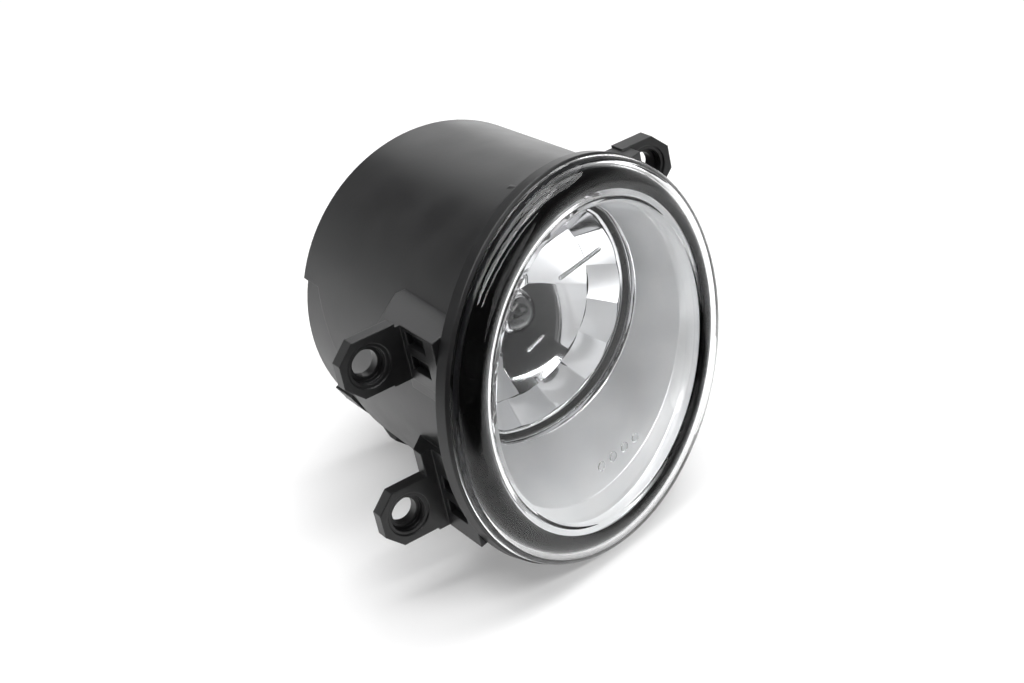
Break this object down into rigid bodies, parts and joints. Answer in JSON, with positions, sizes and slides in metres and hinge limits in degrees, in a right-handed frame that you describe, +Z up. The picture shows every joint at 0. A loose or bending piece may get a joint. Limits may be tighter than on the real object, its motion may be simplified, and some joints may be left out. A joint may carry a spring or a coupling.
{
  "type": "fog light",
  "caption": "Round front fog light with a swept clear lens in a gloss black ring, a barrel housing with three fixing ears, a tilting reflector and a twist-in bulb.",
  "frame": {"origin": "centre of the round lens rim, on the plane of its rear edge", "axes": "the light shines along -Y, +Z is up, +X is towards the outer side of the car (to the right, seen from the front); the lens plane is swept 18 degrees about Z; the beam axis runs along Y at x 1.2 mm, z 1.3 mm"},
  "size_m": [0.1043, 0.1002, 0.0968],
  "materials": {
    "black_plastic": "satin moulded black",
    "clear_lens": "clear, polished",
    "gloss_black": "high gloss black",
    "sealant": "matt grey sealant",
    "satin_silver": "fine-textured metallised silver",
    "zinc_steel": "zinc plated",
    "bright_reflector": "vacuum-metallised mirror finish",
    "natural_nylon": "natural nylon",
    "black_rubber": "matt black rubber",
    "bulb_plastic": "black glass-filled nylon",
    "bulb_steel": "stamped steel",
    "seal_rubber": "silicone seal",
    "bulb_glass": "clear quartz with a dark tip",
    "filament_metal": "tungsten and molybdenum wire",
    "terminal_brass": "tin-plated brass",
    "membrane_fabric": "white vent membrane"
  },
  "bodies": {
    "housing_body": {"housing": "black_plastic", "lens": "clear_lens", "lens_ring": "gloss_black", "lens_adhesive": "sealant", "bezel": "satin_silver", "bezel_screws": "zinc_steel", "pivot_pins": "zinc_steel", "vent_cap": "black_rubber", "vent_membrane": "membrane_fabric"},
    "reflector_body": {"reflector": "bright_reflector", "pivot_bushes": "natural_nylon", "aim_socket": "natural_nylon"},
    "aim_screw_body": {"aim_screw": "zinc_steel", "aim_screw_seal": "black_rubber", "aim_screw_clip": "zinc_steel"},
    "aim_nut_body": {"aim_nut": "natural_nylon"},
    "bulb_body": {"bulb_base": "bulb_plastic", "bulb_ring": "bulb_steel", "bulb_seal": "seal_rubber", "bulb_capsule": "bulb_glass", "bulb_filament": "filament_metal", "bulb_supports": "filament_metal", "bulb_terminals": "terminal_brass"}
  },
  "joints": [
    {"name": "aim_screw_turn", "type": "hinge", "parent": "housing_body", "child": "aim_screw_body", "pos_m": [0.0012, 0.0622, -0.0297], "axis": [0, 1, 0], "range_deg": [-450, 450]},
    {"name": "aim_nut_slide", "type": "slide", "parent": "housing_body", "child": "aim_nut_body", "axis": [0, 1, 0], "range_m": [-0.0016, 0.0016]},
    {"name": "reflector_tilt", "type": "hinge", "parent": "housing_body", "child": "reflector_body", "pos_m": [0.0012, 0.04172, 0.0013], "axis": [1, 0, 0], "range_deg": [-3, 3]},
    {"name": "bulb_twist", "type": "hinge", "parent": "housing_body", "child": "bulb_body", "pos_m": [0.0012, 0.06672, 0.0013], "axis": [0, 1, 0], "range_deg": [0, 30]}
  ],
  "couplings": [
    {"joint": "aim_nut_slide", "follows": "aim_screw_turn", "m_per_rad": -0.00019894},
    {"joint": "reflector_tilt", "follows": "aim_screw_turn", "ratio": -0.0064175}
  ]
}
